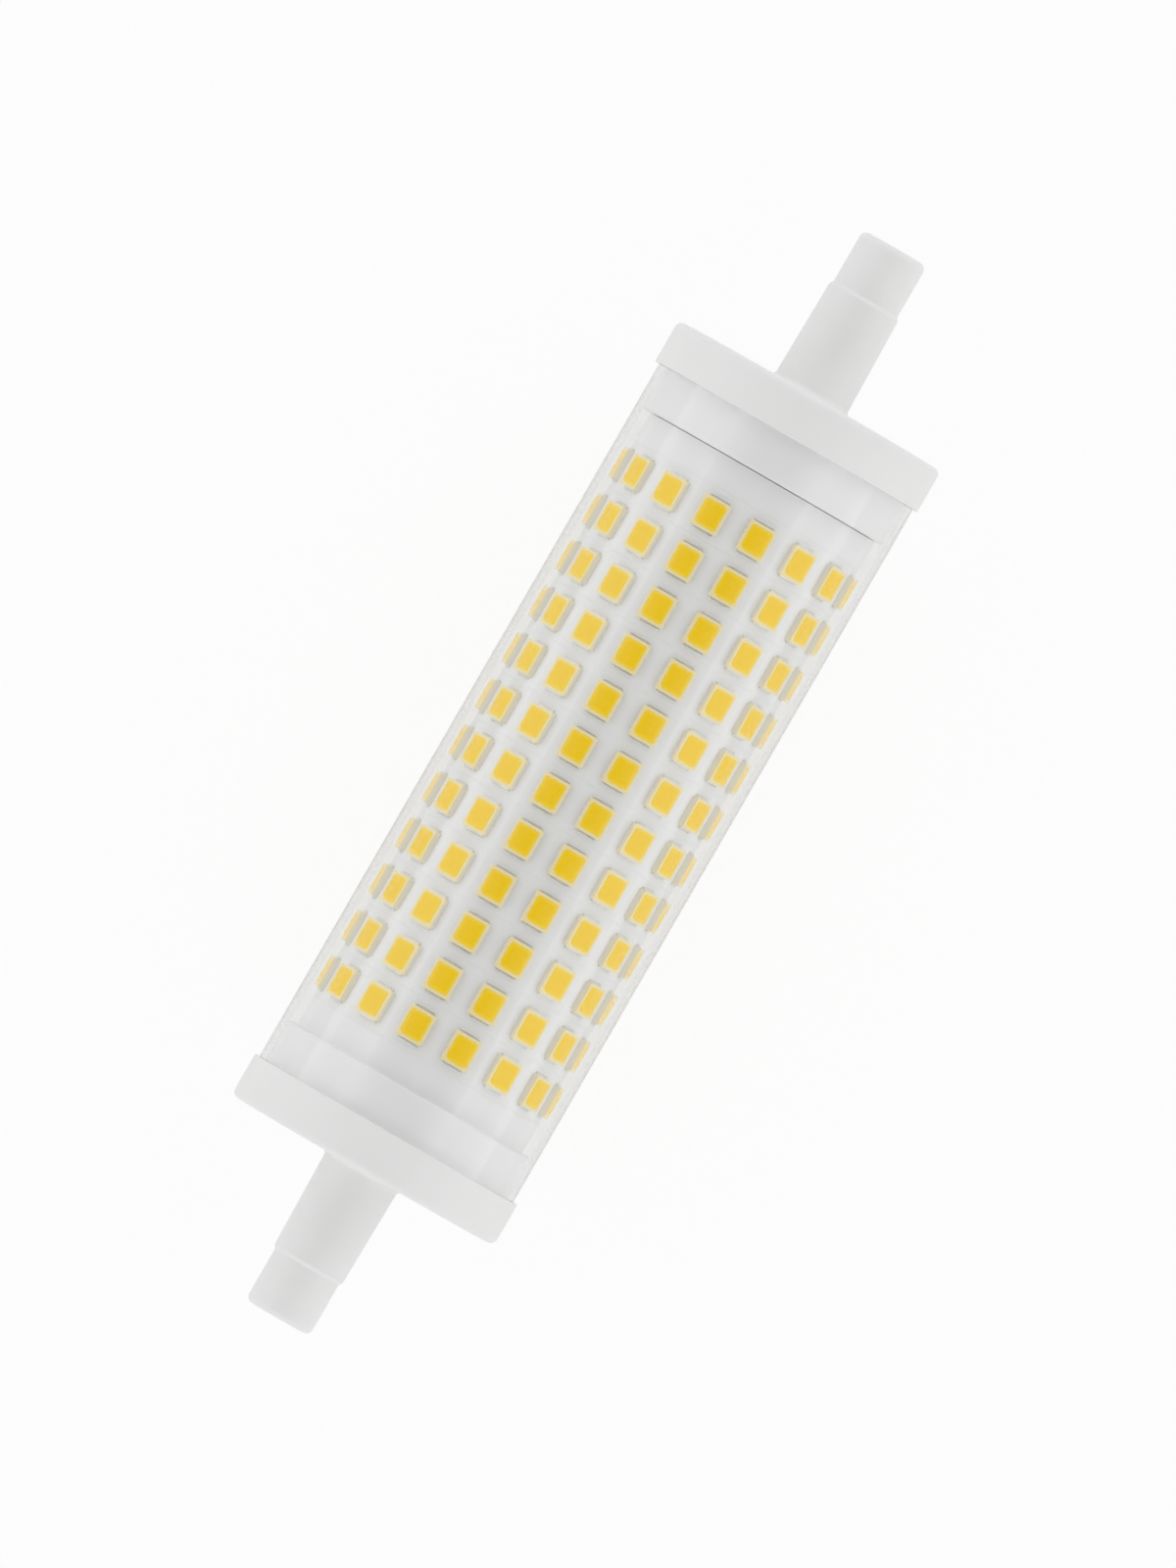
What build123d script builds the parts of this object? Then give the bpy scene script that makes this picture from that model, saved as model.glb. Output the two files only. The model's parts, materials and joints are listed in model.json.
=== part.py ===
from build123d import *
import os
from math import cos, floor, radians, sin, sqrt, tan

# Double-ended linear LED lamp, a clear tube between two moulded caps with a sunk contact in each tip.
# It lies along X with its middle at the origin and a fold of the LED board facing up. Millimetres.

# Whole lamp
lamp_length = 118.0  # tip to tip

# Clear cover tube
tube_outer_dia = 28.0
tube_wall = 0.55
tube_length = 76.4  # from flange to flange

# End cap: flange, and the spigot that goes into the tube
flange_proud = 0.45  # of the tube, all round
flange_length = 4.5
flange_edge = 0.6
spigot_length = 4.45
spigot_clearance = 0.05
spigot_edge = 0.35
end_wall = 2.0

# End cap: post and tip
post_root_dia = 7.9
post_end_dia = 7.5
post_root_flare = 0.5
tip_dia = 7.0
tip_length = 6.0
tip_shoulder = 0.5
tip_edge = 0.4
recess_dia = 4.4
recess_depth = 1.9  # leaves 114.2 mm between the two contact faces
contact_bore_dia = 4.0
lead_bore_dia = 1.9

# End cap: plug that locates the LED board, its slot for the pins and the rails for the driver board
plug_length = 4.0
plug_wall = 1.2
plug_clearance = 0.1
plug_slot_width = 5.2
rail_length = 8.0
rail_height = 1.0
rail_depth = 1.2
rail_root = 0.3  # how deep a rail is rooted in the cap's wall

# Contacts
contact_length = 2.0
contact_clearance = 0.05

# LED board, one strip scored and folded to sixteen narrow sides
board_sides = 16
board_thickness = 1.0
seam_gap = 0.3
board_end_play = 0.15  # shows as a dark line beside one cap, the board rests on the other

# LED packages and their phosphor windows
led_width = 2.8
led_length = 3.5
led_height = 0.75
led_clearance = 0.47  # from a package's corner to the tube
window_width = 2.25
window_length = 2.65
phosphor_height = 0.08  # the gel stands this much above the package's rim
row_pitch = 5.1
bare_end = 5.5  # least distance from the board's end to the first row

# Insulating liner
liner_thickness = 0.3
liner_clearance = 0.1

# Driver board
pcb_thickness = 1.0
pcb_side_clearance = 0.1
pcb_end_play = 0.2

# Mains leads, and the pins that feed the LED board
mains_lead_dia = 1.3
mains_lead_foot = 4.5  # length that lies on the driver board
pin_width = 0.64
pin_spacing = 3.2
pin_proud = 0.5
pin_clearance = 0.35
pin_from_end = 2.1

# Driver parts in a row on the upper face of the driver board
part_gap = 2.6
fuse_size = (6.4, 3.0, 1.2)
fuse_end = (1.0, 3.2, 1.4)
bridge_size = (5.0, 4.0, 2.4)
bridge_leg = (0.7, 1.4, 0.25)
bridge_leg_pitch = 2.5
film_size = (5.0, 10.0, 8.0)
film_edge = 0.6
choke_length = 10.0
choke_depth = 5.0
choke_headroom = 1.3  # under the liner
choke_leg = 2.4
choke_yoke = 1.6
choke_side_leg = 1.3
winding_clearance = 0.1
winding_overhang = 2.0
winding_edge = 0.7
can_dia = 8.0
can_length = 14.0
transistor_size = (4.0, 6.5, 2.3)
transistor_tab = (1.4, 5.2, 0.5)

# Driver parts on the lower face
chip_x = 12.0
chip_size = (4.9, 3.9, 1.5)
chip_leg = (0.4, 1.2, 0.25)
chip_leg_pitch = 1.27
chip_legs_per_side = 4
leg_tuck = 0.4  # how far legs reach under a moulded body
chip_resistor_x = -8.0
chip_resistor_size = (3.2, 1.6, 0.6)
chip_resistor_pitch = (5.0, 4.0)
chip_resistor_count = (4, 2)

# Places and sizes that follow from the values above
tube_inner_radius = tube_outer_dia / 2 - tube_wall
flange_inner_x = tube_length / 2
flange_outer_x = flange_inner_x + flange_length
flange_radius = tube_outer_dia / 2 + flange_proud
spigot_end_x = flange_inner_x - spigot_length
spigot_radius = tube_inner_radius - spigot_clearance
tip_end_x = lamp_length / 2
tip_root_x = tip_end_x - tip_length
contact_face_x = tip_end_x - recess_depth
contact_seat_x = contact_face_x - contact_length
cavity_end_x = flange_outer_x - end_wall
plug_end_x = spigot_end_x - plug_length

board_length = 2 * spigot_end_x - board_end_play
led_top = sqrt((tube_inner_radius - led_clearance) ** 2 - (led_width / 2) ** 2)
board_face = led_top - led_height
board_inside = board_face - board_thickness
package_height = led_height - phosphor_height
led_rows = floor((board_length - 2 * bare_end) / row_pitch) + 1
half_side_angle = radians(180 / board_sides)
fold_reach = board_face / cos(half_side_angle)
lower_side = board_sides // 2
plug_outside = board_inside - plug_clearance
plug_inside = plug_outside - plug_wall
liner_outside = board_inside - liner_clearance
liner_inside = liner_outside - liner_thickness

pcb_top = -mains_lead_dia / 2
pcb_bottom = pcb_top - pcb_thickness
# The plug's inner walls slope past the driver board, and its lower edges come nearest to them
plug_half_width = plug_inside / cos(half_side_angle) + pcb_bottom * tan(half_side_angle)
pcb_half_width = plug_half_width - pcb_side_clearance
pcb_half_length = cavity_end_x - pcb_end_play
pin_x = spigot_end_x - pin_from_end

choke_height = liner_inside - choke_headroom - pcb_top
transistor_length = transistor_size[0] + transistor_tab[0]
row_lengths = [fuse_size[0], bridge_size[0], film_size[0], choke_length, can_length, transistor_length]
row_start = -(sum(row_lengths) + part_gap * (len(row_lengths) - 1)) / 2
fuse_x, bridge_x, film_x, choke_x, can_x, transistor_x = [
    row_start + sum(row_lengths[:place]) + part_gap * place + length / 2
    for place, length in enumerate(row_lengths)
]

os.makedirs("parts", exist_ok=True)


def keep(piece, node):
    """Label a finished piece and write it as a STEP file."""
    piece.part.label = node
    export_step(piece.part, f"parts/{node}.step")


def side_plane(side, distance):
    """Plane that faces outward from one side of the LED board, with X along the lamp."""
    angle = (2 * side + 1) * half_side_angle
    outward = Vector(0, -sin(angle), cos(angle))
    return Plane(origin=outward * distance, x_dir=(1, 0, 0), z_dir=outward)


def sided(apothem, mode=Mode.ADD):
    """Regular outline of the LED board's kind, with a fold at the top."""
    return RegularPolygon(apothem, board_sides, major_radius=False, mode=mode)


# Clear cover tube
with BuildPart() as cover_tube:
    with BuildSketch(Plane.YZ):
        Circle(tube_outer_dia / 2)
        Circle(tube_inner_radius, mode=Mode.SUBTRACT)
    extrude(amount=tube_length / 2, both=True)
keep(cover_tube, "cover_tube")

# End caps, each one moulding: tip, post, flange, spigot and hollow plug
cap_section = [
    (spigot_end_x, lead_bore_dia / 2),
    (spigot_end_x, spigot_radius - spigot_edge),
    (spigot_end_x + spigot_edge, spigot_radius),
    (flange_inner_x, spigot_radius),
    (flange_inner_x, flange_radius),
    (flange_outer_x - flange_edge, flange_radius),
    (flange_outer_x, flange_radius - flange_edge),
    (flange_outer_x, post_root_dia / 2 + post_root_flare),
    (flange_outer_x + post_root_flare, post_root_dia / 2),
    (tip_root_x, post_end_dia / 2),
    (tip_root_x + tip_shoulder, tip_dia / 2),
    (tip_end_x - tip_edge, tip_dia / 2),
    (tip_end_x, tip_dia / 2 - tip_edge),
    (tip_end_x, recess_dia / 2),
    (contact_face_x, recess_dia / 2),
    (contact_face_x, contact_bore_dia / 2),
    (contact_seat_x, contact_bore_dia / 2),
    (contact_seat_x, lead_bore_dia / 2),
]
rail_rows = 2 * (plug_inside + (rail_root - rail_depth) / 2)
rail_tiers = pcb_thickness + 2 * pcb_side_clearance + rail_height
with BuildPart() as end_caps:
    with BuildSketch(Plane.XY):
        with BuildLine():
            Polyline(*cap_section, close=True)
        make_face()
    revolve(axis=Axis.X)
    with BuildSketch(Plane.YZ.offset(plug_end_x)):
        sided(plug_outside)
    extrude(amount=plug_length)
    with BuildSketch(Plane.YZ.offset(plug_end_x)):
        sided(plug_inside)
    extrude(amount=cavity_end_x - plug_end_x, mode=Mode.SUBTRACT)
    with Locations((plug_end_x + plug_length / 2, 0, -plug_outside)):
        Box(plug_length, plug_slot_width, 4 * plug_wall, mode=Mode.SUBTRACT)
    with BuildSketch(Plane.YZ.offset(plug_end_x)):
        with Locations((0, (pcb_top + pcb_bottom) / 2)):
            with GridLocations(rail_rows, rail_tiers, 2, 2):
                Rectangle(rail_depth + rail_root, rail_height)
    extrude(amount=rail_length)
    mirror(about=Plane.YZ)
keep(end_caps, "end_caps")

# Contacts, metal slugs on a shoulder in each tip, flush with the floor of its recess
with BuildPart() as contacts:
    with BuildSketch(Plane.YZ.offset(contact_seat_x)):
        Circle(contact_bore_dia / 2 - contact_clearance)
    extrude(amount=contact_length)
    mirror(about=Plane.YZ)
keep(contacts, "contacts")

# Mains leads, stiff wires from the contacts through the posts to the face of the driver board
with BuildPart() as mains_leads:
    with BuildSketch(Plane.YZ.offset(contact_seat_x)):
        Circle(mains_lead_dia / 2)
    extrude(amount=pcb_half_length - mains_lead_foot - contact_seat_x)
    mirror(about=Plane.YZ)
keep(mains_leads, "mains_leads")

# Folded LED board, with its seam at a lower fold and a slot for the pins that feed it
with BuildPart() as led_board:
    with BuildSketch(Plane.YZ.offset(-spigot_end_x)):
        sided(board_face)
        sided(board_inside, mode=Mode.SUBTRACT)
    extrude(amount=board_length)
    with BuildSketch(side_plane(lower_side + 0.5, 0)):
        Rectangle(2 * spigot_end_x, seam_gap)
    extrude(amount=tube_inner_radius, mode=Mode.SUBTRACT)
    with BuildSketch(side_plane(lower_side - 0.5, fold_reach)):
        with Locations((pin_x, 0)):
            Rectangle(pin_width + 2 * pin_clearance, pin_spacing + pin_width + 2 * pin_clearance)
    extrude(amount=-2 * board_thickness, mode=Mode.SUBTRACT)
keep(led_board, "led_board")

# LED packages and the phosphor windows on them, one group for each pair of neighbouring sides
for pair in range(board_sides // 2):
    with BuildPart() as led_packages:
        for side in (2 * pair - 1, 2 * pair):
            with BuildSketch(side_plane(side, board_face)):
                with GridLocations(row_pitch, 0, led_rows, 1):
                    Rectangle(led_length, led_width)
        extrude(amount=package_height)
    keep(led_packages, f"led_packages_side_{pair + 1}")

    with BuildPart() as led_phosphor:
        for side in (2 * pair - 1, 2 * pair):
            with BuildSketch(side_plane(side, board_face + package_height)):
                with GridLocations(row_pitch, 0, led_rows, 1):
                    Rectangle(window_length, window_width)
        extrude(amount=phosphor_height)
    keep(led_phosphor, f"led_phosphor_side_{pair + 1}")

# Insulating liner, folded inside the LED board and held between the two plugs
with BuildPart() as insulating_liner:
    with BuildSketch(Plane.YZ):
        sided(liner_outside)
        sided(liner_inside, mode=Mode.SUBTRACT)
    extrude(amount=plug_end_x, both=True)
keep(insulating_liner, "insulating_liner")

# Driver board, in the rails of both caps
with BuildPart() as driver_board:
    with Locations((0, 0, (pcb_top + pcb_bottom) / 2)):
        Box(2 * pcb_half_length, 2 * pcb_half_width, pcb_thickness)
keep(driver_board, "driver_board")

# Square pins, from the driver board out through the plug's slot and the LED board's slot
with BuildPart() as led_pins:
    with BuildSketch(Plane.XY.offset(pcb_bottom)):
        with Locations((pin_x, 0)):
            with GridLocations(0, pin_spacing, 1, 2):
                Rectangle(pin_width, pin_width)
    extrude(amount=-(board_face + pin_proud + pcb_bottom))
keep(led_pins, "led_pins")

# Chip fuse, a flat body between two metal ends
with BuildPart() as chip_fuse:
    with Locations((fuse_x, 0, pcb_top + fuse_end[2] / 2)):
        Box(*fuse_size)
        with GridLocations(fuse_size[0] - fuse_end[0], 0, 2, 1):
            Box(*fuse_end)
keep(chip_fuse, "chip_fuse")

# Bridge rectifier on four flat legs
with BuildPart() as bridge_rectifier:
    leg_height = bridge_leg[2]
    with Locations((bridge_x, 0, pcb_top + leg_height + bridge_size[2] / 2)):
        Box(*bridge_size)
    with Locations((bridge_x, 0, pcb_top + leg_height / 2)):
        leg_span = bridge_size[1] + bridge_leg[1] - 2 * leg_tuck
        with GridLocations(bridge_leg_pitch, leg_span, 2, 2):
            Box(*bridge_leg)
keep(bridge_rectifier, "bridge_rectifier")

# Film capacitor, a box with its four upright edges taken off
with BuildPart() as film_capacitor:
    with Locations((film_x, 0, pcb_top + film_size[2] / 2)):
        Box(*film_size)
    chamfer(film_capacitor.edges().filter_by(Axis.Z), film_edge)
keep(film_capacitor, "film_capacitor")

# Choke: a ferrite core with two windows, and the winding round its middle leg
choke_middle_z = pcb_top + choke_height / 2
window_height = choke_height - 2 * choke_yoke
window_span = (choke_length - choke_leg) / 2 - choke_side_leg
winding_length = choke_leg + 2 * (window_span - winding_clearance)
bobbin_length = choke_leg + 2 * winding_clearance
bobbin_depth = choke_depth + 2 * winding_clearance
with BuildPart() as choke_core:
    with Locations((choke_x, 0, choke_middle_z)):
        Box(choke_length, choke_depth, choke_height)
        with GridLocations(choke_leg + window_span, 0, 2, 1):
            Box(window_span, choke_depth, window_height, mode=Mode.SUBTRACT)
keep(choke_core, "choke_core")

with BuildPart() as choke_winding:
    with BuildSketch(Plane.XY.offset(choke_middle_z)) as turns:
        with Locations((choke_x, 0)):
            Rectangle(winding_length, choke_depth + 2 * winding_overhang)
            chamfer(turns.vertices(), winding_edge)
            Rectangle(bobbin_length, bobbin_depth, mode=Mode.SUBTRACT)
    extrude(amount=window_height / 2 - winding_clearance, both=True)
keep(choke_winding, "choke_winding")

# Smoothing capacitor, a can lying along the driver board
with BuildPart() as smoothing_capacitor:
    with Locations((can_x, 0, pcb_top + can_dia / 2)):
        Cylinder(can_dia / 2, can_length, rotation=(0, 90, 0))
keep(smoothing_capacitor, "smoothing_capacitor")

# Power transistor, with its metal tab flat on the driver board
with BuildPart() as power_transistor:
    with Locations((transistor_x - transistor_tab[0] / 2, 0, pcb_top + transistor_size[2] / 2)):
        Box(*transistor_size)
    with Locations((transistor_x + transistor_size[0] / 2, 0, pcb_top + transistor_tab[2] / 2)):
        Box(*transistor_tab)
keep(power_transistor, "power_transistor")

# Driver chip under the driver board, on eight flat legs
with BuildPart() as driver_chip:
    leg_height = chip_leg[2]
    with Locations((chip_x, 0, pcb_bottom - leg_height - chip_size[2] / 2)):
        Box(*chip_size)
    with Locations((chip_x, 0, pcb_bottom - leg_height / 2)):
        leg_span = chip_size[1] + chip_leg[1] - 2 * leg_tuck
        with GridLocations(chip_leg_pitch, leg_span, chip_legs_per_side, 2):
            Box(*chip_leg)
keep(driver_chip, "driver_chip")

# Chip resistors under the driver board
with BuildPart() as chip_resistors:
    with Locations((chip_resistor_x, 0, pcb_bottom - chip_resistor_size[2] / 2)):
        with GridLocations(*chip_resistor_pitch, *chip_resistor_count):
            Box(*chip_resistor_size)
keep(chip_resistors, "chip_resistors")
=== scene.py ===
"""Linear LED lamp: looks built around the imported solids, laid out as an add-on and run as a script."""

import json
import math

import bmesh
import bpy
from bpy.props import FloatProperty, FloatVectorProperty, IntProperty, PointerProperty
from mathutils import Matrix, Vector

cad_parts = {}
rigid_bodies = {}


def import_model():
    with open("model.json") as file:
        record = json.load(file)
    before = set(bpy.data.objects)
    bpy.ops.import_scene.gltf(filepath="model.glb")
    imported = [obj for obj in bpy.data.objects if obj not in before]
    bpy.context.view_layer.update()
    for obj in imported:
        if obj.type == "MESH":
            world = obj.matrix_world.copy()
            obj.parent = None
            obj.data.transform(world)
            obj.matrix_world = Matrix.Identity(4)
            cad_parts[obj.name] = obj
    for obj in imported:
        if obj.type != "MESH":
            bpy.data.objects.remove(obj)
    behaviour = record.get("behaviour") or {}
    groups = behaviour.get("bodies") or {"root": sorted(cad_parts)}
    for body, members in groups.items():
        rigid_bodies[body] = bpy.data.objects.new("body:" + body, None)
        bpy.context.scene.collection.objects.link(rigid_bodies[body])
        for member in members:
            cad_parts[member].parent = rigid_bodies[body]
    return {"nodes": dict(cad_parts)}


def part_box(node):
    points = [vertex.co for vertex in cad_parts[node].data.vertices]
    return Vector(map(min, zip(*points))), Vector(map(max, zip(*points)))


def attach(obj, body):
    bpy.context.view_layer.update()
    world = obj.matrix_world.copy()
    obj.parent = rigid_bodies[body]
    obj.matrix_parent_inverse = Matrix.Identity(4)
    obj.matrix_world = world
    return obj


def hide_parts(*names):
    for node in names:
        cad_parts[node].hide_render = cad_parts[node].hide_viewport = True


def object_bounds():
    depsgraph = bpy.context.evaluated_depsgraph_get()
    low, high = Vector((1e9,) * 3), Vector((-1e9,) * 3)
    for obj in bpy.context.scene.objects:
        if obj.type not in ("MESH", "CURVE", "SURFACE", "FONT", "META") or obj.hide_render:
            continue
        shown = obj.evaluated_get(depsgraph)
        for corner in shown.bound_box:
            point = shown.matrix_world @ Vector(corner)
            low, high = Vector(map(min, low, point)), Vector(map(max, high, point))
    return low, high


bl_info = {
    "name": "Linear LED Lamp",
    "version": (1, 0, 0),
    "blender": (4, 5, 0),
    "location": "View3D > Sidebar > LED Lamp",
    "description": "Builds the looks of a double-ended linear LED lamp around its solids",
    "category": "Add Mesh",
}

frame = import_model()
cad_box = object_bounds()

MM = 0.001
BODY = "root"
ALONG = Vector((1, 0, 0))  # direction of the lamp's axis
X_AXIS = 0
Y_AXIS = 1
WHITE = (1.0, 1.0, 1.0, 1.0)

# Sides of the LED board, numbered from the fold on top
SIDES = 16
PAIRS = SIDES // 2  # groups of LEDs on neighbouring sides, the first on the two sides that face up
SIDE_TURN = 2 * math.pi / SIDES
LOWER_SIDES = (SIDES // 2 - 1, SIDES // 2)  # the two sides beside the lowest fold
SEAM_FOLD = SIDES // 2 + 1

# Fineness of the meshes
TURN_STEPS = 320  # a multiple of twice the number of sides, so that rings meet the folds
ARC_STEPS = 6  # on a rounded edge or fold
CORNER_STEPS = 4  # on a corner of a flat outline
BESIDE_ARC = 1.15  # where the points beside an arc are, as a share of the corner's cut
SHARP_ANGLE = math.radians(35)

# Rings of the small rounded forms, from the foot up
CONTACT_HUB = 0.1  # innermost ring of a contact's back, as a share of its radius
CONTACT_DOME = (0.97, 0.88, 0.7, 0.45, 0.2, 0.05)  # shares of the radius
PACKAGE_EDGE = ((0.0, 1.0), (0.3, 0.3), (1.0, 0.0))  # shares of the rounding, inward and down
GEL_FOOT_SIZE = 0.97  # share of the window
GEL_FOOT_DEPTH = 0.8  # share of the cup's depth
GEL_DOME = ((0.95, 0.25), (0.8, 0.6), (0.55, 0.88), (0.25, 1.0))  # shares of the window and the dome
SOLDER_SLOPE = ((1.0, 0.0), (0.62, 0.2), (0.32, 0.5), (0.16, 1.0))  # shares of the reach and the height
PIN_SOLDER_CORNER = 0.45  # rounding, as a share of the joint's length
# Solder on a pin, as shares of the joint's size, with the heights
PIN_SOLDER_DOME = ((1.0, 0.0), (0.93, 0.16 * MM), (0.72, 0.36 * MM), (0.42, 0.5 * MM), (0.15, 0.55 * MM))

MARKED_CORNER = 1  # corner of an LED's window that marks the cathode
END_FACING = 0.5  # least part of a face's normal along the lamp on the board's cut ends
MIX_FIRST = 6  # places of the colours on a Mix node, whose sockets share their names
MIX_SECOND = 7
MIX_RESULT = 2
SENSOR = 36.0  # long side of the camera's sensor in millimetres, which spans the picture's height
CLIP_REACH = 4  # how far the camera sees, in camera distances

tube_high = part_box("cover_tube")[1]
caps_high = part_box("end_caps")[1]
contacts_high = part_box("contacts")[1]
board_low, board_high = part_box("led_board")
packages_low, packages_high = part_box("led_packages_side_1")
driver_low, driver_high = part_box("driver_board")
pins_low, pins_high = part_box("led_pins")


# Properties

def size(name, description, default):
    """Property that holds a length in metres."""
    return FloatProperty(
        name=name, description=description, default=default, min=0.0, precision=5, unit="LENGTH"
    )


def colour(name, description, default):
    """Property that holds a linear colour."""
    return FloatVectorProperty(
        name=name, description=description, default=default, min=0.0, max=1.0, size=3, subtype="COLOR"
    )


def fraction(name, description, default):
    """Property that holds a share between none and all."""
    return FloatProperty(
        name=name, description=description, default=default, min=0.0, max=1.0, subtype="FACTOR"
    )


def brightness(name, description, default):
    """Property that holds a level of light."""
    return FloatProperty(name=name, description=description, default=default, min=0.0)


class TubeSizes(bpy.types.PropertyGroup):
    """Sizes of the clear cover tube."""

    radius: size("Radius", "Outside radius of the tube", tube_high.z)
    half_length: size("Half length", "From the middle to a flange", tube_high.x)
    wall: size("Wall", "Thickness of the wall", 0.55 * MM)
    lip: size("Lip", "Rounding of the tube's ends", 0.05 * MM)


class CapSizes(bpy.types.PropertyGroup):
    """Sizes of the two moulded end caps."""

    tip_end: size("Tip end", "From the middle to the end of a tip", caps_high.x)
    tip_length: size("Tip length", "Length of the narrow tip", 6.0 * MM)
    tip_radius: size("Tip radius", "Radius of the tip", 3.5 * MM)
    tip_edge: size("Tip edge", "Rounding of the tip's end", 0.7 * MM)
    shoulder: size("Shoulder", "Length of the slope between tip and post", 0.4 * MM)
    shoulder_edge: size("Shoulder edge", "Rounding at both ends of that slope", 0.1 * MM)
    recess_radius: size("Recess radius", "Radius of the recess in the tip", 2.2 * MM)
    recess_edge: size("Recess edge", "Rounding of the recess's rim", 0.2 * MM)
    contact_bore_radius: size("Contact bore radius", "Radius of the contact's seat", 2.0 * MM)
    lead_bore_radius: size("Lead bore radius", "Radius of the way for the mains lead", 0.95 * MM)
    post_end_radius: size("Post end radius", "Radius of the post at the tip", 3.75 * MM)
    post_root_radius: size("Post root radius", "Radius of the post at the flange", 3.95 * MM)
    post_flare: size("Post flare", "Rounding between post and flange", 0.6 * MM)
    flange_radius: size("Flange radius", "Radius of the flange", caps_high.z)
    flange_length: size("Flange length", "Length of the flange", 4.5 * MM)
    flange_edge: size("Flange edge", "Rounding of the flange's outer edge", 0.7 * MM)
    flange_lip: size("Flange lip", "Rounding of the flange's edge at the tube", 0.08 * MM)
    end_wall: size("End wall", "Wall between the flange's face and the cavity", 2.0 * MM)
    spigot_length: size("Spigot length", "Length of the spigot in the tube", tube_high.x + board_low.x)
    spigot_clearance: size("Spigot clearance", "Gap from the spigot to the tube", 0.05 * MM)
    spigot_edge: size("Spigot edge", "Rounding of the spigot's end", 0.35 * MM)
    plug_length: size("Plug length", "Length of the plug in the LED board", 4.0 * MM)
    plug_wall: size("Plug wall", "Wall of the plug", 1.2 * MM)
    plug_clearance: size("Plug clearance", "Gap from the plug to the LED board", 0.1 * MM)
    slot_width: size("Slot width", "Width of the plug's slot for the pins", 5.2 * MM)
    rail_length: size("Rail length", "Length of a rail for the driver board", 8.0 * MM)
    rail_height: size("Rail height", "Height of a rail", 1.0 * MM)
    rail_depth: size("Rail depth", "How far a rail stands out of the plug's wall", 1.2 * MM)
    rail_root: size("Rail root", "How deep a rail is rooted in the wall", 0.3 * MM)
    rail_clearance: size("Rail clearance", "Gap from a rail to the driver board", 0.1 * MM)


class ContactSizes(bpy.types.PropertyGroup):
    """Sizes of the two contacts."""

    face: size("Face", "From the middle to a contact's face", contacts_high.x)
    radius: size("Radius", "Radius of a contact", contacts_high.z)
    length: size("Length", "Length of a contact", 2.0 * MM)
    dome: size("Dome", "How much the face is domed", 0.22 * MM)
    edge: size("Edge", "From the face back to the straight side", 0.352 * MM)


class BoardSizes(bpy.types.PropertyGroup):
    """Sizes of the folded LED board and of its pins' solder."""

    face: size("Face", "From the axis to a side's face", board_high.z * math.cos(SIDE_TURN / 2))
    thickness: size("Thickness", "Thickness of the board", 1.0 * MM)
    bend: size("Bend", "Outer radius of the folds", 0.8 * MM)
    seam: size("Seam", "Width of the slit where the ends of the strip meet", 0.3 * MM)
    pin_clearance: size("Pin clearance", "Gap round the pins in their slot", 0.35 * MM)
    pin_solder_length: size("Pin solder length", "Length of the solder on a pin", 2.2 * MM)
    pin_solder_width: size("Pin solder width", "Width of the solder on a pin", 2.6 * MM)
    track_gap: size("Track gap", "Width of the grooves between copper areas", 0.16 * MM)
    track_relief: size("Track relief", "Depth of the grooves between copper areas", 0.02 * MM)
    end_gap: size("End gap", "Gap from the board to the spigot at the right end", 0.08 * MM)


class LedSizes(bpy.types.PropertyGroup):
    """Sizes of an LED package and how many there are on a side."""

    rows: IntProperty(name="Rows", description="Packages along a side", default=12, min=2)
    length: size("Length", "Length of a package", 3.5 * MM)
    width: size("Width", "Width of a package", 2.8 * MM)
    height: size("Height", "Height of a package's rim", 0.67 * MM)
    tab_height: size("Tab height", "Height of the metal tabs at a package's ends", 0.15 * MM)
    tab_width: size("Tab width", "Width of the metal tabs", 2.1 * MM)
    tab_reach: size("Tab reach", "How far the tabs stand out of the moulding", 0.12 * MM)
    corner: size("Corner", "Rounding of a package's upright edges", 0.15 * MM)
    edge: size("Edge", "Rounding of a package's upper edge", 0.07 * MM)
    window_length: size("Window length", "Length of the window", 2.65 * MM)
    window_width: size("Window width", "Width of the window", 2.25 * MM)
    window_corner: size("Window corner", "Rounding of the window's corners", 0.32 * MM)
    mark_corner: size("Mark corner", "Rounding of the corner that marks the cathode", 0.55 * MM)
    cup_depth: size("Cup depth", "How far the cup goes down inside the rim", 0.12 * MM)
    dome: size("Dome", "How far the gel stands above the rim", 0.08 * MM)
    solder_reach: size("Solder reach", "How far a solder joint reaches from the package", 0.18 * MM)
    solder_inside: size("Solder inside", "How far a solder joint reaches under the package", 0.2 * MM)
    solder_height: size("Solder height", "Height of a solder joint at the package", 0.2 * MM)
    solder_width: size("Solder width", "Width of a solder joint", 2.1 * MM)
    solder_corner: size("Solder corner", "Rounding of a solder joint's corners", 0.06 * MM)


class DriverSizes(bpy.types.PropertyGroup):
    """How far the driver's parts go from their middles before their metal starts."""

    fuse_body: size("Fuse body", "Half the length of the fuse's body", 2.2 * MM)
    rectifier_body: size("Rectifier body", "Half the width of the rectifier's body", 2.0 * MM)
    can_sleeve: size("Can sleeve", "Half the length of the smoothing capacitor's sleeve", 6.99 * MM)
    transistor_body: size("Transistor body", "Half the length of the transistor's body", 1.9 * MM)
    chip_body: size("Chip body", "Half the width of the driver chip's body", 1.95 * MM)


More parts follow.
